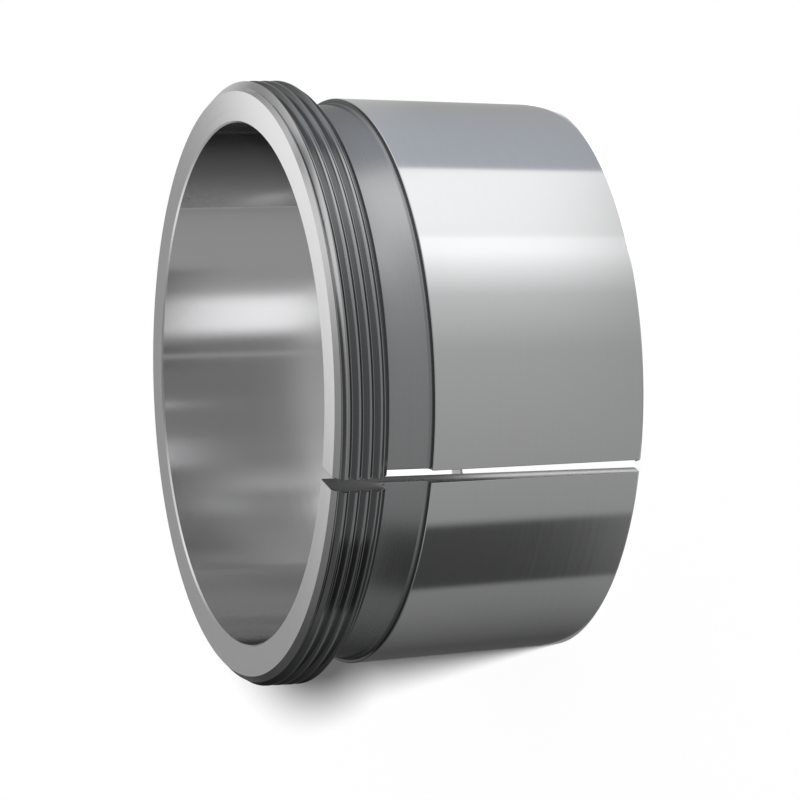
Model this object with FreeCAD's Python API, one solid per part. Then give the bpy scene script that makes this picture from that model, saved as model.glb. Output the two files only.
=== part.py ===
"""Withdrawal sleeve: a slit, taper-seated steel sleeve with a threaded collar.

It stands on its plain small end, with the thread up. +Z is its axis, the origin is
the centre of the small end and the slit faces -Y. Sizes are in millimetres.
"""
import FreeCAD, Part
import math
import os

from FreeCAD import Vector

# Bore and length
bore_d = 95.0
seat_length = 40.0      # tapered seat, small end to shoulder
neck_length = 9.0       # relief between the shoulder and the collar
collar_length = 10.0    # threaded collar

# Walls over the bore
end_wall = 2.5          # at the small end of the seat
neck_wall = 3.0         # at the relief
collar_wall = 7.5       # at the thread crest, which is M110

# Seat
taper = 12.0            # length in which the seat's diameter grows by one

# Thread, right-handed
pitch = 2.0
flank_deg = 30.0        # each flank from the radial direction
crest_share = 1.0 / 8.0     # crest flat over pitch
depth_share = 0.6134        # depth over pitch
first_groove = 1.2      # first root below the top face, at the slit

# Bevels, all at 45 degrees
collar_chamfer = 1.8    # both ends of the thread
bore_break = 0.3        # both mouths of the bore
seat_break = 0.4        # outer edge of the small end
lip_break = 0.2         # outer edge of the shoulder
foot_bevel = 0.3        # from the shoulder into the relief
neck_bevel = 0.8        # from the relief into the collar

# Slit, right through the wall
slit_width = 2.2

# Allowance by which a cutting shape passes a surface
cutter_over = 0.15

length = seat_length + neck_length + collar_length
bore_r = bore_d / 2
small_r = bore_r + end_wall
neck_r = bore_r + neck_wall
thread_r = bore_r + collar_wall
collar_z = length - collar_length
thread_depth = depth_share * pitch
root_r = thread_r - thread_depth
flank = math.tan(math.radians(flank_deg))
root_half = pitch * (1 - crest_share) / 2 - thread_depth * flank
mouth_half = root_half + (thread_depth + cutter_over) * flank


def seat_r(z):
    """Radius of the tapered seat at a height."""
    return small_r + z / (2 * taper)


def point(r, z):
    """Point of a section, drawn where the slit takes the seam away."""
    return Vector(0, -r, z)


def section():
    """Half section of the sleeve before the slit and the thread are cut."""
    seat = [
        point(bore_r + bore_break, 0),
        point(small_r - seat_break, 0),
        point(seat_r(seat_break), seat_break),
        point(seat_r(seat_length - lip_break), seat_length - lip_break),
        point(seat_r(seat_length) - lip_break, seat_length),
    ]
    relief = [
        point(neck_r + foot_bevel, seat_length),
        point(neck_r, seat_length + foot_bevel),
        point(neck_r, collar_z - neck_bevel),
        point(neck_r + neck_bevel, collar_z),
    ]
    collar = [
        point(thread_r - collar_chamfer, collar_z),
        point(thread_r, collar_z + collar_chamfer),
        point(thread_r, length - collar_chamfer),
        point(thread_r - collar_chamfer, length),
    ]
    bore = [
        point(bore_r + bore_break, length),
        point(bore_r, length - bore_break),
        point(bore_r, bore_break),
    ]
    outline = seat + relief + collar + bore
    return Part.Face(Part.makePolygon(outline + outline[:1]))


def slit():
    """Slot through one wall over the whole length, on the -Y side."""
    reach = thread_r + cutter_over
    corner = Vector(-slit_width / 2, -reach, -cutter_over)
    return Part.makeBox(slit_width, reach, length + 2 * cutter_over, corner)


def groove_turn(start_z):
    """One turn of the V groove, from slit to slit, with its root at a height."""
    helix = Part.makeHelix(pitch, pitch, root_r)
    helix.rotate(Vector(0, 0, 0), Vector(0, 0, 1), -90)
    helix.translate(Vector(0, 0, start_z))
    mouth_r = thread_r + cutter_over
    corners = [
        point(root_r, start_z - root_half),
        point(mouth_r, start_z - mouth_half),
        point(mouth_r, start_z + mouth_half),
        point(root_r, start_z + root_half),
    ]
    profile = Part.makePolygon(corners + corners[:1])
    return Part.Wire(helix.Edges).makePipeShell([profile], True, True)


def groove_starts():
    """Heights at the slit of every turn that meets the collar, from the top down."""
    deepest = collar_length - first_groove + pitch + mouth_half
    turns = math.floor(deepest / pitch) + 1
    return [length - first_groove - turn * pitch for turn in range(turns)]


def sleeve():
    """Turned blank with its slit and its thread, cut one turn at a time."""
    body = section().revolve(Vector(0, 0, 0), Vector(0, 0, 1), 360).cut(slit())
    for start_z in groove_starts():
        body = body.cut(groove_turn(start_z))
    return body


os.makedirs("parts", exist_ok=True)
sleeve().exportStep("parts/withdrawal_sleeve.step")
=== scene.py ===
"""Withdrawal sleeve, standing on its plain end on a pale floor.

The sleeve is modelled as its maker makes it: a turned blank, a milled slit and a cut
thread. Lengths of the sleeve are in millimetres here and go to the mesh in metres.
"""
import math

import bpy
from mathutils import Euler, Matrix, Vector


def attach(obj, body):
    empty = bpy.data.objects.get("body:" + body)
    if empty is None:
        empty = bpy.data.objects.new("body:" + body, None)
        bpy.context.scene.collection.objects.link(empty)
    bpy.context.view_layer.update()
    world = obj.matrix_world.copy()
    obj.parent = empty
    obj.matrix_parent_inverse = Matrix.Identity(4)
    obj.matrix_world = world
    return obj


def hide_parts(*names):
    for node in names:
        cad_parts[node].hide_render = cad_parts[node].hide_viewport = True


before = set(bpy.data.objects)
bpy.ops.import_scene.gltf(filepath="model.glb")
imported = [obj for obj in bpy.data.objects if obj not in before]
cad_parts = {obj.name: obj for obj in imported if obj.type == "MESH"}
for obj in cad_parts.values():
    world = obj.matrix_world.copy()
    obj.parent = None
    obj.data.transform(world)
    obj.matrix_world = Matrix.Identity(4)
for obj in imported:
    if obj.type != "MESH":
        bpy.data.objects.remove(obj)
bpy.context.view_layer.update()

MM = 0.001

# Sleeve, as in the CAD
bore_r = 47.5
small_r = 50.0
taper = 24.0            # length in which the seat's radius grows by one
seat_length = 40.0
neck_r = 50.5
collar_z = 49.0
length = 59.0
thread_r = 55.0
collar_chamfer = 1.8
slit_width = 2.2

# Edges
bore_break = 0.3
seat_break = 0.4
lip_break = 0.2
foot_radius = 0.8
neck_radius = 1.2
slit_break = 0.12
arc_steps = 5

# Thread
pitch = 2.0
flank_deg = 30.0
thread_depth = 0.593 * pitch
root_flat = 0.1155 * pitch
root_radius = 0.20
crest_radius = 0.10
crest_turn_deg = 54.0       # how far each half of the crest is rounded, of the full 60
first_groove = 1.12         # first root below the top face, at the slit
groove_turns = 7
run_out = 0.27              # by which the last turn is shallower at the slit
run_out_share = 0.31        # of a turn, over which it comes back to the full depth

# Mesh
steps_round = 384           # segments in a turn
sharp_deg = 24              # between two faces, from which their edge stays sharp
cutter_over = 0.15          # by which a cutting shape passes a surface
near = 0.001                # within which a point lies on a flat surface
near_slit = 0.01            # the same, at the slit's broken edges
near_wall = 0.02            # the same, where a round wall is made of flat faces
facing = 0.5                # part of a normal along an axis, from which the face looks that way

# Cutting marks, fine ones with broad ones between them
fine_run = 60.0             # length along the marks
fine_detail = 2.0
fine_seed = 3.0
fine_share = 0.65           # of the fine marks in the whole
broad_run = 25.0
broad_width = 14            # times the fine ones' width
broad_detail = 3.0
broad_seed = 11.0
noise_roughness = 0.55
noise_range = (0.3, 0.7)    # in which nearly all of the noise lies
aniso_turn = 0.25           # of a turn, from the axis to the way round it

# Finishes, and painted shade: what the marks are counted across, height or radius; roughness
# from the smooth marks to the rough ones; width and depth of the marks in mm; contrast of their
# colour; and how bright the steel mirrors at its edges. The neck's, thread's and slit's colour,
# darker than the seat's, is painted shade on the same steel, as are the neck's and thread's dim
# edges.
finishes_and_painted_shade = {
    "seat": dict(name="ground_seat", across="z", colour=(0.665, 0.67, 0.675),
                 rough=(0.09, 0.13), aniso=0.55, line_width=0.05, line_depth=0.00012,
                 contrast=0.02, edge=0.85),
    "bore": dict(name="ground_bore", across="z", colour=(0.64, 0.64, 0.645),
                 rough=(0.11, 0.13), aniso=0.7, line_width=0.08, line_depth=0.00001,
                 contrast=0.015, metal=0.985),
    "face": dict(name="turned_face", across="r", colour=(0.66, 0.66, 0.66),
                 rough=(0.20, 0.26), aniso=0.4, line_width=0.10, line_depth=0.0003,
                 contrast=0.03),
    # Painted shade: the neck, thread and slit are the seat's steel in a darker colour, and the
    # neck and thread have dim edges too.
    "neck": dict(name="turned_neck_painted_shade", across="z", colour=(0.38, 0.385, 0.39),
                 rough=(0.25, 0.29), aniso=0.4, line_width=0.08, line_depth=0.0001,
                 contrast=0.03, edge=0.5),
    "thread": dict(name="cut_thread_painted_shade", across="z", colour=(0.35, 0.355, 0.36),
                   rough=(0.13, 0.17), aniso=0.4, line_width=0.06, line_depth=0.0002,
                   contrast=0.05, edge=0.5),
    "slit": dict(name="milled_slit_painted_shade", across="z", colour=(0.32, 0.32, 0.325),
                 rough=(0.25, 0.35), aniso=0.0, line_width=0.10, line_depth=0.0005,
                 contrast=0.05),
}

# Camera at the photograph's viewing angle, rolled so that the thread is on the left
camera_place = (0.296376, -0.838537, 0.346778)      # metres
camera_turn = (-5.0571, 70.2009, -75.6596)          # degrees about X, Y and Z
camera_lens = 231.165
sensor_width = 36.0
camera_clip = (0.01, 20.0)                          # metres


def seat_r(z):
    """Radius of the tapered seat at a height."""
    return small_r + z / taper


def arc(centre, radius, start_deg, end_deg):
    """Points of an arc in a half section."""
    points = []
    for step in range(arc_steps + 1):
        turn = math.radians(start_deg + (end_deg - start_deg) * step / arc_steps)
        points.append((centre[0] + radius * math.cos(turn),
                       centre[1] + radius * math.sin(turn)))
    return points


def blank_section():
    """Half section of the turned blank, from the foot of the bore round to the bore again."""
    shoulder_r = seat_r(seat_length)
    seat = [
        (bore_r + bore_break, 0.0),
        (small_r - seat_break, 0.0),
        (seat_r(seat_break), seat_break),
        (seat_r(seat_length - lip_break), seat_length - lip_break),
        (shoulder_r - lip_break / 2, seat_length - lip_break / 4),
        (shoulder_r - lip_break, seat_length),
    ]
    foot = arc((neck_r + foot_radius, seat_length + foot_radius), foot_radius, 270, 180)
    throat = arc((neck_r + neck_radius, collar_z - neck_radius), neck_radius, 180, 90)
    collar = [
        (thread_r - collar_chamfer, collar_z),
        (thread_r, collar_z + collar_chamfer),
        (thread_r, length - collar_chamfer),
        (thread_r - collar_chamfer, length),
    ]
    bore = [
        (bore_r + bore_break, length),
        (bore_r, length - bore_break),
        (bore_r, bore_break),
    ]
    return seat + foot + throat + collar + bore


def deselect():
    """Nothing selected and nothing active, as an operator acts on all that is."""
    for thing in bpy.context.selected_objects:
        thing.select_set(False)
    bpy.context.view_layer.objects.active = None


def pick(thing):
    """This object alone selected and active."""
    deselect()
    thing.select_set(True)
    bpy.context.view_layer.objects.active = thing


def turned(name, section):
    """Closed lathe shape, drawn out ring by ring along its section."""
    deselect()
    first_r, first_z = section[0]
    bpy.ops.mesh.primitive_circle_add(vertices=steps_round, radius=first_r * MM,
                                      fill_type="NOTHING", location=(0, 0, first_z * MM))
    piece = bpy.context.object
    piece.name = name
    bpy.ops.object.transform_apply(location=True)
    bpy.ops.object.mode_set(mode="EDIT")
    bpy.ops.mesh.select_all(action="SELECT")
    for (r, z), (next_r, next_z) in zip(section, section[1:]):
        bpy.ops.mesh.extrude_edges_move(
            TRANSFORM_OT_translate={"value": (0, 0, (next_z - z) * MM)})
        bpy.ops.transform.resize(value=(next_r / r, next_r / r, 1),
                                 center_override=(0, 0, next_z * MM))
    bpy.ops.mesh.select_all(action="DESELECT")
    bpy.ops.mesh.select_mode(type="EDGE")
    bpy.ops.mesh.select_non_manifold()
    bpy.ops.mesh.bridge_edge_loops()
    bpy.ops.mesh.select_all(action="SELECT")
    bpy.ops.mesh.normals_make_consistent(inside=False)
    bpy.ops.object.mode_set(mode="OBJECT")
    return piece


def cut(piece, tool):
    """Takes the tool's shape out of the piece."""
    pick(piece)
    modifier = piece.modifiers.new("cut", "BOOLEAN")
    modifier.operation = "DIFFERENCE"
    modifier.solver = "EXACT"
    modifier.object = tool
    bpy.ops.object.modifier_apply(modifier="cut")
    bpy.data.objects.remove(tool)


def slit_mill():
    """Cutter for the slit, through one wall on the -Y side."""
    deselect()
    reach = thread_r + cutter_over
    tall = length + 2 * cutter_over
    bpy.ops.mesh.primitive_cube_add(
        size=1, location=(0, -reach / 2 * MM, length / 2 * MM),
        scale=(slit_width * MM, reach * MM, tall * MM))
    bpy.ops.object.transform_apply(location=True, scale=True)
    return bpy.context.object


def break_slit_edges(piece):
    """Small bevel on every edge that the slit leaves."""
    pick(piece)
    bpy.ops.object.mode_set(mode="EDIT")
    bpy.ops.mesh.select_mode(type="EDGE")
    bpy.ops.mesh.select_all(action="DESELECT")
    bpy.ops.object.mode_set(mode="OBJECT")
    half = slit_width / 2 * MM
    on_wall = [abs(abs(vertex.co.x) - half) < near * MM and vertex.co.y < 0
               for vertex in piece.data.vertices]
    for edge in piece.data.edges:
        edge.select = all(on_wall[corner] for corner in edge.vertices)
    bpy.ops.object.mode_set(mode="EDIT")
    bpy.ops.mesh.bevel(offset=slit_break * MM, offset_type="OFFSET", segments=2,
                       clamp_overlap=True)
    bpy.ops.object.mode_set(mode="OBJECT")


def groove_root():
    """Upper half of the groove's rounded root, radius and height from its middle."""
    root_r = thread_r - thread_depth
    flat_half = root_flat / 2 - root_radius * math.tan(math.radians(flank_deg))
    points = []
    for step in range(arc_steps + 1):
        turn = math.radians((90 - flank_deg) * step / arc_steps)
        points.append((root_r + root_radius * (1 - math.cos(turn)),
                       flat_half + root_radius * math.sin(turn)))
    return points


def groove_crest(low_r, low_z):
    """Rounded crest edge at the end of the flank that rises from this point."""
    flank = math.radians(flank_deg)
    crest_in = crest_radius * (1 - math.sin(flank))
    crest_z = low_z + (thread_r - crest_in - low_r) * math.tan(flank)
    centre = (thread_r - crest_in - crest_radius * math.sin(flank),
              crest_z + crest_radius * math.cos(flank))
    points = []
    for step in range(1, arc_steps + 1):
        turn = math.radians(flank_deg + crest_turn_deg * step / arc_steps)
        points.append((centre[0] + crest_radius * math.sin(turn),
                       centre[1] - crest_radius * math.cos(turn)))
    return points


def groove_section():
    """Closed section of the thread groove, radius and height from its middle."""
    half = groove_root()
    half += groove_crest(*half[-1])
    half.append((thread_r + cutter_over, half[-1][1]))
    return [(r, -z) for r, z in reversed(half)] + half


def ease_run_out(tool, start_z):
    """Lifts the cutter's last turn where it starts at the slit."""
    last_turn = (start_z + pitch * (groove_turns - 1)) * MM
    for vertex in tool.data.vertices:
        share = math.atan2(vertex.co.x, -vertex.co.y) / math.tau % 1.0
        if vertex.co.z - share * pitch * MM > last_turn - pitch * MM / 2:
            shallow = run_out * max(0.0, 1 - share / run_out_share)
            lift = 1 + shallow * MM / vertex.co.xy.length
            vertex.co.x, vertex.co.y = vertex.co.x * lift, vertex.co.y * lift


def thread_tool():
    """Helical cutter for the whole thread, started in the slit."""
    deselect()
    section = groove_section()
    bpy.ops.mesh.primitive_circle_add(vertices=len(section), radius=MM, fill_type="NOTHING")
    tool = bpy.context.object
    start_z = length - first_groove - pitch * (groove_turns - 1)
    for vertex, (r, z) in zip(tool.data.vertices, section):
        vertex.co = (0, -r * MM, (start_z + z) * MM)
    screw = tool.modifiers.new("screw", "SCREW")
    screw.axis = "Z"
    screw.angle = math.tau
    screw.screw_offset = pitch * MM
    screw.iterations = groove_turns
    screw.steps = screw.render_steps = steps_round
    bpy.ops.object.modifier_apply(modifier="screw")
    ease_run_out(tool, start_z)
    bpy.ops.object.mode_set(mode="EDIT")
    bpy.ops.mesh.select_mode(type="EDGE")
    bpy.ops.mesh.select_all(action="DESELECT")
    bpy.ops.mesh.select_non_manifold()
    bpy.ops.mesh.fill_holes(sides=len(section))
    bpy.ops.mesh.select_all(action="SELECT")
    bpy.ops.mesh.normals_make_consistent(inside=False)
    bpy.ops.object.mode_set(mode="OBJECT")
    return tool


def new_material(name):
    """Empty node material and its tree."""
    material = bpy.data.materials.new(name)
    material.use_nodes = True
    material.node_tree.nodes.clear()
    return material, material.node_tree


def add_node(tree, kind, inputs=None, **settings):
    """Node with its settings made and its inputs given a value or linked."""
    node = tree.nodes.new(kind)
    for key, value in settings.items():
        setattr(node, key, value)
    for key, value in (inputs or {}).items():
        if isinstance(value, bpy.types.NodeSocket):
            tree.links.new(value, node.inputs[key])
        else:
            node.inputs[key].default_value = value
    return node


def ramp(tree, factor, stops):
    """Colour ramp through stops of (place, colour)."""
    node = add_node(tree, "ShaderNodeValToRGB", {"Fac": factor})
    elements = node.color_ramp.elements
    for _ in range(len(stops) - 2):
        elements.new(0.5)
    for element, (place, colour) in zip(elements, stops):
        element.position = place
        element.color = (*colour, 1.0)
    return node.outputs["Color"]


def grey(level):
    """Neutral colour."""
    return (level, level, level)


def maths(tree, operation, first, second=0.0):
    """Result of a sum on two values."""
    return add_node(tree, "ShaderNodeMath", {0: first, 1: second},
                    operation=operation).outputs[0]


def place_parts(tree):
    """Object coordinates, one by one."""
    place = add_node(tree, "ShaderNodeTexCoord").outputs["Object"]
    return add_node(tree, "ShaderNodeSeparateXYZ", {"Vector": place})


def lay_of_lines(tree, across):
    """Object coordinates, and the one across the marks: height, or radius on a face."""
    parts = place_parts(tree)
    flat = add_node(tree, "ShaderNodeCombineXYZ",
                    {"X": parts.outputs["X"], "Y": parts.outputs["Y"]}).outputs[0]
    radius = add_node(tree, "ShaderNodeVectorMath", {0: flat},
                      operation="LENGTH").outputs["Value"]
    return parts, parts.outputs["Z"] if across == "z" else radius


def lines(tree, parts, depth, width, run, detail, seed):
    """Noise drawn out round the axis: width across the lines and run along them, in mm."""
    along = 1 / (run * MM)
    over = 1 / (width * MM)
    vector = add_node(tree, "ShaderNodeCombineXYZ", {
        "X": maths(tree, "MULTIPLY", parts.outputs["X"], along),
        "Y": maths(tree, "MULTIPLY", parts.outputs["Y"], along),
        "Z": maths(tree, "MULTIPLY", depth, over)}).outputs[0]
    shift = add_node(tree, "ShaderNodeVectorMath", {0: vector, 1: (seed, seed, seed)},
                     operation="ADD").outputs[0]
    return add_node(tree, "ShaderNodeTexNoise", {
        "Vector": shift, "Scale": 1.0, "Detail": detail,
        "Roughness": noise_roughness}).outputs["Fac"]


def spread(tree, value, low, high):
    """Noise value brought between two limits."""
    return add_node(tree, "ShaderNodeMapRange", {
        "Value": value, "From Min": noise_range[0], "From Max": noise_range[1],
        "To Min": low, "To Max": high}, clamp=True).outputs[0]


def machined(name, across, colour, rough, aniso, line_width, line_depth, contrast,
             metal=1.0, edge=1.0):
    """Steel with marks that run round the axis."""
    material, tree = new_material(name)
    parts, depth = lay_of_lines(tree, across)
    fine = lines(tree, parts, depth, line_width, fine_run, fine_detail, fine_seed)
    broad = lines(tree, parts, depth, line_width * broad_width, broad_run, broad_detail,
                  broad_seed)
    both = maths(tree, "ADD", maths(tree, "MULTIPLY", fine, fine_share),
                 maths(tree, "MULTIPLY", broad, 1 - fine_share))
    dark = tuple(part * (1 - contrast) for part in colour)
    light = tuple(part * (1 + contrast) for part in colour)
    shade = ramp(tree, both, list(zip(noise_range, (dark, light))))
    tangent = add_node(tree, "ShaderNodeTangent", direction_type="RADIAL", axis="Z").outputs[0]
    bump = add_node(tree, "ShaderNodeBump",
                    {"Height": fine, "Strength": 1.0, "Distance": line_depth * MM}).outputs[0]
    surface = add_node(tree, "ShaderNodeBsdfPrincipled", {
        "Base Color": shade, "Metallic": metal, "Specular Tint": (edge, edge, edge, 1),
        "Roughness": spread(tree, both, rough[0], rough[1]),
        "Anisotropic": aniso, "Anisotropic Rotation": aniso_turn, "Tangent": tangent,
        "Normal": bump})
    output = add_node(tree, "ShaderNodeOutputMaterial")
    tree.links.new(surface.outputs[0], output.inputs["Surface"])
    return material


def envelope_r(z):
    """Radius of the collar before its thread is cut."""
    return min(thread_r, thread_r - collar_chamfer + min(z - collar_z, length - z))


def finish_of(centre, normal):
    """Finish of the face with this centre, in mm, and normal."""
    r = math.hypot(centre.x, centre.y)
    z = centre.z
    in_slit = abs(centre.x) < slit_width / 2 + slit_break + near_slit and centre.y < 0
    if in_slit and abs(normal.x) > facing:
        return "slit"
    if r < bore_r + near_wall:
        return "bore"
    if z > length - near or z > length - bore_break and r < bore_r + bore_break:
        return "face"
    if z > collar_z + near and r > bore_r + bore_break:
        chamfer = z > length - collar_chamfer and r > envelope_r(z) - near_wall
        return "face" if chamfer else "thread"
    if z > seat_length - lip_break / 2:
        return "neck"
    return "seat"


def finish_sleeve(piece):
    """Materials by place, and smooth shading between sharp edges."""
    names = list(finishes_and_painted_shade)
    for name in names:
        piece.data.materials.append(machined(**finishes_and_painted_shade[name]))
    for face in piece.data.polygons:
        face.material_index = names.index(finish_of(face.center / MM, face.normal))
    pick(piece)
    bpy.ops.object.shade_smooth_by_angle(angle=math.radians(sharp_deg))


def make_sleeve():
    """Turned blank, slit, edge breaks and thread, standing for the CAD sleeve."""
    piece = turned("sleeve", blank_section())
    cut(piece, slit_mill())
    break_slit_edges(piece)
    cut(piece, thread_tool())
    finish_sleeve(piece)
    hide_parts("withdrawal_sleeve")
    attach(piece, "root")


# Cards of light by azimuth, in degrees. Low ones, which the seat shows
low_cards = [
    (-180, grey(0.23)),
    (-164, grey(0.27)),
    (-162, grey(0.06)),
    (-132, grey(0.07)),
    (-129, grey(0.36)),
    (-60, grey(0.50)),
    (-38, grey(0.76)),
    (-27, grey(1.20)),
    (-20, grey(1.50)),
    (-14, grey(1.52)),
    (-12.5, grey(1.30)),
    (21.5, grey(1.32)),
    (22.5, (0.53, 0.57, 0.62)),
    (60, (0.52, 0.545, 0.58)),
    (80, grey(0.51)),
    (106, grey(0.48)),
    (112, grey(0.10)),
    (146, grey(0.10)),
    (180, grey(0.23)),
]

# Middle ones, which the neck and the thread's crests show
middle_cards = [
    (-180, grey(0.23)),
    (-164, grey(0.27)),
    (-162, grey(0.06)),
    (-132, grey(0.07)),
    (-129, grey(0.36)),
    (-60, grey(0.49)),
    (-42, grey(0.58)),
    (-30, grey(0.70)),
    (-18, grey(0.93)),
    (-6, grey(1.30)),
    (6, grey(1.38)),
    (18, grey(1.24)),
    (25, (0.58, 0.62, 0.67)),
    (60, (0.60, 0.62, 0.65)),
    (80, grey(0.64)),
    (106, grey(0.58)),
    (112, grey(0.10)),
    (146, grey(0.10)),
    (180, grey(0.23)),
]

# High ones, which the face, the chamfers and the thread's flanks show
high_cards = [
    (-180, grey(0.10)),
    (-155, grey(0.20)),
    (-128, grey(0.42)),
    (-95, grey(0.32)),
    (-49, grey(0.34)),
    (-12, grey(0.52)),
    (8, grey(0.90)),
    (29, grey(0.82)),
    (43, grey(0.78)),
    (58, grey(0.56)),
    (71, grey(0.34)),
    (86, grey(0.30)),
    (115, grey(0.08)),
    (129, grey(0.02)),
    (155, grey(0.085)),
    (180, grey(0.10)),
]

# Top ones, bright over the camera's side and dark over the far side
top_cards = [
    (-180, grey(0.14)),
    (-155, grey(0.20)),
    (-128, grey(0.30)),
    (-95, grey(0.36)),
    (-49, grey(0.46)),
    (-20, grey(0.70)),
    (7, grey(0.93)),
    (29, grey(0.80)),
    (37, grey(0.16)),
    (180, grey(0.16)),
]

# Each set of cards with the heights between which it takes over from the one below, as
# shares of the dome's radius
dome_layers = [
    ((-0.50, -0.42), low_cards),
    ((-0.36, -0.32), middle_cards),
    ((-0.05, 0.20), high_cards),
    ((0.55, 0.68), top_cards),
]
dome_foot = grey(0.38)                  # below them all
dome_roof = grey(0.11)                  # above them all
roof_heights = (0.93, 0.985)

# Cards under the bore: the deep ones, which it shows after two reflections
deep_cards = [
    (-180, grey(0.33)),
    (-165, grey(0.33)),
    (-152, grey(0.50)),
    (-141, grey(0.70)),
    (-134, grey(0.68)),
    (-124, grey(0.36)),
    (-90, grey(0.38)),
    (-60, grey(0.48)),
    (-28, grey(0.58)),
    (-8, grey(0.58)),
    (7, grey(0.80)),
    (18, grey(2.05)),
    (47, grey(2.05)),
    (60, grey(0.32)),
    (110, grey(0.28)),
    (180, grey(0.33)),
]

# The shallow ones, which it shows after one
shallow_cards = [
    (-180, grey(0.34)),
    (-140, grey(0.34)),
    (-128, grey(0.75)),
    (-120, grey(1.10)),
    (-112, grey(1.10)),
    (-104, grey(0.75)),
    (-94, grey(0.46)),
    (-40, grey(0.46)),
    (-20, grey(0.60)),
    (-8, grey(0.75)),
    (4, grey(0.80)),
    (18, grey(2.05)),
    (47, grey(2.05)),
    (60, grey(0.33)),
    (180, grey(0.34)),
]

# Card close behind the face: brightness by place along its slope, in mm
face_card_stops = [
    (-20, grey(0.40)),
    (-5, grey(0.41)),
    (0, grey(0.42)),
    (5.5, grey(0.44)),
    (10.8, grey(0.575)),
    (15, grey(0.90)),
    (18.5, grey(1.16)),
    (24, grey(1.28)),
]

# Cards that stand in the bore, one towards the camera and one away from it:
# brightness by place across, in mm
near_card_stops = [
    (-33.3, grey(0.008)),
    (-28.5, grey(0.018)),
    (-25.5, grey(0.044)),
    (-20.3, grey(0.09)),
    (-17.2, grey(0.136)),
    (-13.2, grey(0.19)),
    (-10.6, grey(0.23)),
]
far_card_stops = [
    (-33.3, grey(0.41)),
    (-28.5, grey(0.31)),
    (-25.0, grey(0.29)),
    (-21.0, grey(0.335)),
    (-15.3, grey(0.365)),
    (-10.6, grey(0.375)),
]

# Bright card low in the bore, for the strip of wall that is seen through the slit
slit_card_stops = [(-1.8, grey(1.8)), (1.8, grey(1.8))]

# Floor and dome, in metres
floor_reach = 4.0
floor_level = 0.82
dome_radius = 0.6
dome_z = 0.03
dome_segments = 64
dome_rings = 32

# Well of cards under the bore, in metres
well_radius = 0.052
well_depth = 0.06
well_top = -0.0015
well_segments = 128
well_change = (-0.0082, -0.0072)        # heights between deep and shallow cards

# Cards that stand, in mm
look_azimuth = 109.7        # degrees, the way the camera looks
face_card_rise = 19.7       # degrees, from the face up to the card
face_card_gap = 60.0        # from the middle of the face
face_card_width = (-66.0, 66.0)
face_card_height = (-26.0, 44.0)
face_card_slope = (0.276, 0.961)        # parts across and up, along which its light changes
bore_card_ahead = 33.6      # from the axis, away from the camera
bore_card_gap = 0.02        # between the two
bore_card_height = (0.5, 58.5)
slit_card_place = (-29.0, 34.3)
slit_card_azimuth = 62.2    # degrees, of its width
slit_card_height = (1.0, 21.0)
painted_glow_margin = (0.5, 0.1)   # inside the bore, between which the floor turns to painted light: white for the camera, though it lies in the sleeve's shade

# Key light, angles in degrees
sun_azimuth = -65.1
sun_elevation = 21.2
sun_angle = 4.8
sun_strength = 9.1

# What the white surround gives to the floor, where 1 is white
surround_level = 0.17


def direction(azimuth, elevation=0.0):
    """Unit vector that points this way, in degrees."""
    turn, rise = math.radians(azimuth), math.radians(elevation)
    return Vector((math.cos(turn) * math.cos(rise), math.sin(turn) * math.cos(rise),
                   math.sin(rise)))


def by_azimuth(tree, parts, cards):
    """Brightness of cards that stand round the axis."""
    turn = maths(tree, "ARCTAN2", parts.outputs["Y"], parts.outputs["X"])
    share = add_node(tree, "ShaderNodeMapRange",
                     {"Value": turn, "From Min": -math.pi, "From Max": math.pi}).outputs[0]
    return ramp(tree, share, [((azimuth + 180) / 360, colour) for azimuth, colour in cards])


def blend(tree, value, limits, first, second):
    """First colour below the limits and second above them, with a smooth change between."""
    share = add_node(tree, "ShaderNodeMapRange",
                     {"Value": value, "From Min": limits[0], "From Max": limits[1]},
                     interpolation_type="SMOOTHSTEP").outputs[0]
    return add_node(tree, "ShaderNodeMix", {"Factor": share, 6: first, 7: second},
                    data_type="RGBA").outputs[2]


def glow(material, tree, colour):
    """Plain light of this colour, found by the steel's reflections alone."""
    light = add_node(tree, "ShaderNodeEmission", {"Color": colour, "Strength": 1.0})
    output = add_node(tree, "ShaderNodeOutputMaterial")
    tree.links.new(light.outputs[0], output.inputs["Surface"])
    material.cycles.emission_sampling = "NONE"
    return material


def dome_light():
    """Sets of cards round the sleeve, each over the one before."""
    material, tree = new_material("studio_dome")
    parts = place_parts(tree)
    height = maths(tree, "MULTIPLY", parts.outputs["Z"], 1 / dome_radius)
    light = (*dome_foot, 1)
    for limits, cards in dome_layers:
        light = blend(tree, height, limits, light, by_azimuth(tree, parts, cards))
    light = blend(tree, height, roof_heights, light, (*dome_roof, 1))
    return glow(material, tree, light)


def well_light():
    """Cards below the foot of the bore, which nothing but the bore shows."""
    material, tree = new_material("bore_cards")
    parts = place_parts(tree)
    light = blend(tree, parts.outputs["Z"], well_change,
                  by_azimuth(tree, parts, deep_cards), by_azimuth(tree, parts, shallow_cards))
    return glow(material, tree, light)


def sloping_light(name, stops, across=1.0, rise=0.0):
    """Card whose light changes along a slope with these parts across and up."""
    material, tree = new_material(name)
    parts = place_parts(tree)
    slope = maths(tree, "ADD", maths(tree, "MULTIPLY", parts.outputs["X"], across / MM),
                  maths(tree, "MULTIPLY", parts.outputs["Y"], rise / MM))
    low, high = stops[0][0], stops[-1][0]
    share = add_node(tree, "ShaderNodeMapRange",
                     {"Value": slope, "From Min": low, "From Max": high}).outputs[0]
    shares = [((place - low) / (high - low), colour) for place, colour in stops]
    return glow(material, tree, ramp(tree, share, shares))


def mirrored_only(thing):
    """Seen in the steel's reflections and nowhere else."""
    thing.visible_camera = False
    thing.visible_diffuse = False
    thing.visible_shadow = False
    thing.visible_transmission = False
    thing.visible_volume_scatter = False


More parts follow.
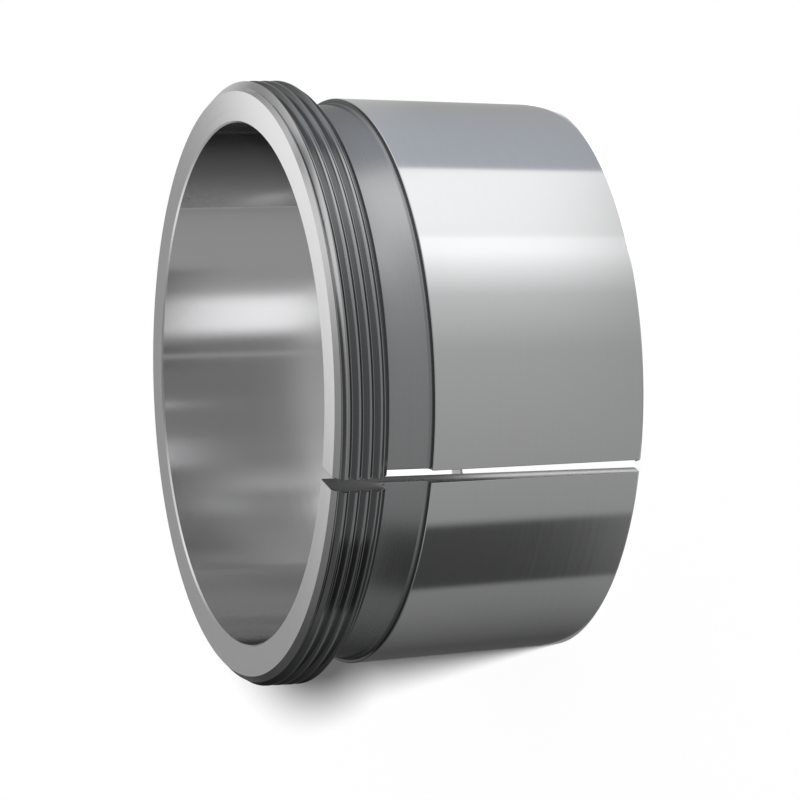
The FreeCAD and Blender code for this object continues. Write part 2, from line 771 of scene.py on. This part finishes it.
def add_dome():
    """Dome of light cards round the sleeve."""
    deselect()
    bpy.ops.mesh.primitive_uv_sphere_add(segments=dome_segments, ring_count=dome_rings,
                                         radius=dome_radius, location=(0, 0, dome_z))
    dome = bpy.context.object
    dome.name = "dome"
    dome.data.materials.append(dome_light())
    mirrored_only(dome)


def add_well():
    """Ring of light cards just below the foot of the bore, closed underneath."""
    deselect()
    bpy.ops.mesh.primitive_cylinder_add(vertices=well_segments, radius=well_radius,
                                        depth=well_depth,
                                        location=(0, 0, well_top - well_depth / 2))
    well = bpy.context.object
    well.name = "bore_cards"
    bpy.ops.object.transform_apply(location=True)
    bpy.ops.object.mode_set(mode="EDIT")
    bpy.ops.mesh.select_all(action="DESELECT")
    bpy.ops.object.mode_set(mode="OBJECT")
    for face in well.data.polygons:
        face.select = face.normal.z > facing
    bpy.ops.object.mode_set(mode="EDIT")
    bpy.ops.mesh.select_mode(type="FACE")
    bpy.ops.mesh.delete(type="FACE")
    bpy.ops.object.mode_set(mode="OBJECT")
    well.data.materials.append(well_light())
    mirrored_only(well)


def stand_card(place, right, up, width, height, material):
    """Flat card at a place, with its ends each way from there, in mm."""
    deselect()
    bpy.ops.mesh.primitive_plane_add(size=1)
    card = bpy.context.object
    card.name = material.name
    for vertex in card.data.vertices:
        x, y = width[vertex.co.x > 0], height[vertex.co.y > 0]
        vertex.co = (x * MM, y * MM, 0)
    card.rotation_mode = "QUATERNION"
    card.rotation_quaternion = Matrix((right, up, right.cross(up))).transposed().to_quaternion()
    card.location = place * MM
    card.data.materials.append(material)
    mirrored_only(card)


def stand_in_bore(name, place, azimuth, stops, height):
    """Upright card in the bore, as wide as its stops, with its width along an azimuth."""
    stand_card(place, direction(azimuth), Vector((0, 0, 1)), (stops[0][0], stops[-1][0]),
               height, sloping_light(name, stops))


def add_face_card():
    """Card close behind the face, square to what the face mirrors to the camera."""
    way = direction(look_azimuth, face_card_rise)
    right = direction(look_azimuth - 90)
    stand_card(Vector((0, 0, length)) + way * face_card_gap, right, right.cross(way),
               face_card_width, face_card_height,
               sloping_light("face_card", face_card_stops, *face_card_slope))


def add_bore_cards():
    """Cards that stand in the bore, for the walls that mirror it many times over."""
    ahead = direction(look_azimuth)
    across = look_azimuth + 90
    stand_in_bore("near_card", ahead * (bore_card_ahead - bore_card_gap / 2), across,
                  near_card_stops, bore_card_height)
    stand_in_bore("far_card", ahead * (bore_card_ahead + bore_card_gap / 2), across,
                  far_card_stops, bore_card_height)
    stand_in_bore("slit_card", Vector(slit_card_place).to_3d(), slit_card_azimuth,
                  slit_card_stops, slit_card_height)


def floor_paint():
    """Pale paint, and painted light: plain white, with no shade, where the camera sees the
    floor through the bore.
    """
    material, tree = new_material("pale_floor")
    paint = add_node(tree, "ShaderNodeBsdfDiffuse", {"Color": (*grey(floor_level), 1)})
    place = add_node(tree, "ShaderNodeTexCoord").outputs["Object"]
    radius = add_node(tree, "ShaderNodeVectorMath", {0: place},
                      operation="LENGTH").outputs["Value"]
    start, end = ((bore_r - margin) * MM for margin in painted_glow_margin)
    inside = add_node(tree, "ShaderNodeMapRange", {
        "Value": radius, "From Min": start, "From Max": end,
        "To Min": 1.0, "To Max": 0.0}).outputs[0]
    # Painted light: inside the bore the floor glows white to the camera in place of the
    # sleeve's shade.
    seen = add_node(tree, "ShaderNodeLightPath").outputs["Is Camera Ray"]
    white = add_node(tree, "ShaderNodeEmission", {"Strength": 1.0})
    both = add_node(tree, "ShaderNodeMixShader", {
        "Fac": maths(tree, "MULTIPLY", inside, seen), 1: paint.outputs[0],
        2: white.outputs[0]})
    output = add_node(tree, "ShaderNodeOutputMaterial")
    tree.links.new(both.outputs[0], output.inputs["Surface"])
    material.cycles.emission_sampling = "NONE"
    return material


def add_floor():
    """Pale floor, which stays out of the steel's reflections."""
    deselect()
    bpy.ops.mesh.primitive_plane_add(size=2 * floor_reach, location=(0, 0, 0))
    floor = bpy.context.object
    floor.name = "floor"
    floor.data.materials.append(floor_paint())
    floor.visible_glossy = False


def add_key_light():
    """Soft, distant key light for the floor."""
    bpy.ops.object.light_add(type="SUN")
    key = bpy.context.object
    key.data.angle = math.radians(sun_angle)
    key.data.energy = sun_strength
    key.visible_glossy = False
    back = direction(sun_azimuth, sun_elevation)
    key.rotation_euler = back.to_track_quat("Z", "Y").to_euler()


def add_surround():
    """White surround, which lights the floor more softly than it looks."""
    world = bpy.data.worlds.new("surround")
    bpy.context.scene.world = world
    world.use_nodes = True
    tree = world.node_tree
    tree.nodes.clear()
    path = add_node(tree, "ShaderNodeLightPath")
    seen = maths(tree, "MAXIMUM", path.outputs["Is Camera Ray"], path.outputs["Is Glossy Ray"])
    seen = maths(tree, "MAXIMUM", seen, path.outputs["Is Transmission Ray"])
    soft = add_node(tree, "ShaderNodeBackground",
                    {"Color": (1, 1, 1, 1), "Strength": surround_level})
    bright = add_node(tree, "ShaderNodeBackground", {"Color": (1, 1, 1, 1), "Strength": 1.0})
    both = add_node(tree, "ShaderNodeMixShader",
                    {"Fac": seen, 1: soft.outputs[0], 2: bright.outputs[0]})
    output = add_node(tree, "ShaderNodeOutputWorld")
    tree.links.new(both.outputs[0], output.inputs["Surface"])


def add_camera():
    """Camera with the photograph's frame."""
    bpy.ops.object.camera_add(location=camera_place)
    camera = bpy.context.object
    camera.rotation_euler = Euler([math.radians(turn) for turn in camera_turn])
    camera.data.lens = camera_lens
    camera.data.sensor_width = sensor_width
    camera.data.clip_start, camera.data.clip_end = camera_clip
    bpy.context.scene.camera = camera


make_sleeve()
add_floor()
add_dome()
add_well()
add_face_card()
add_bore_cards()
add_key_light()
add_surround()
add_camera()
bpy.context.scene.view_settings.view_transform = "Standard"
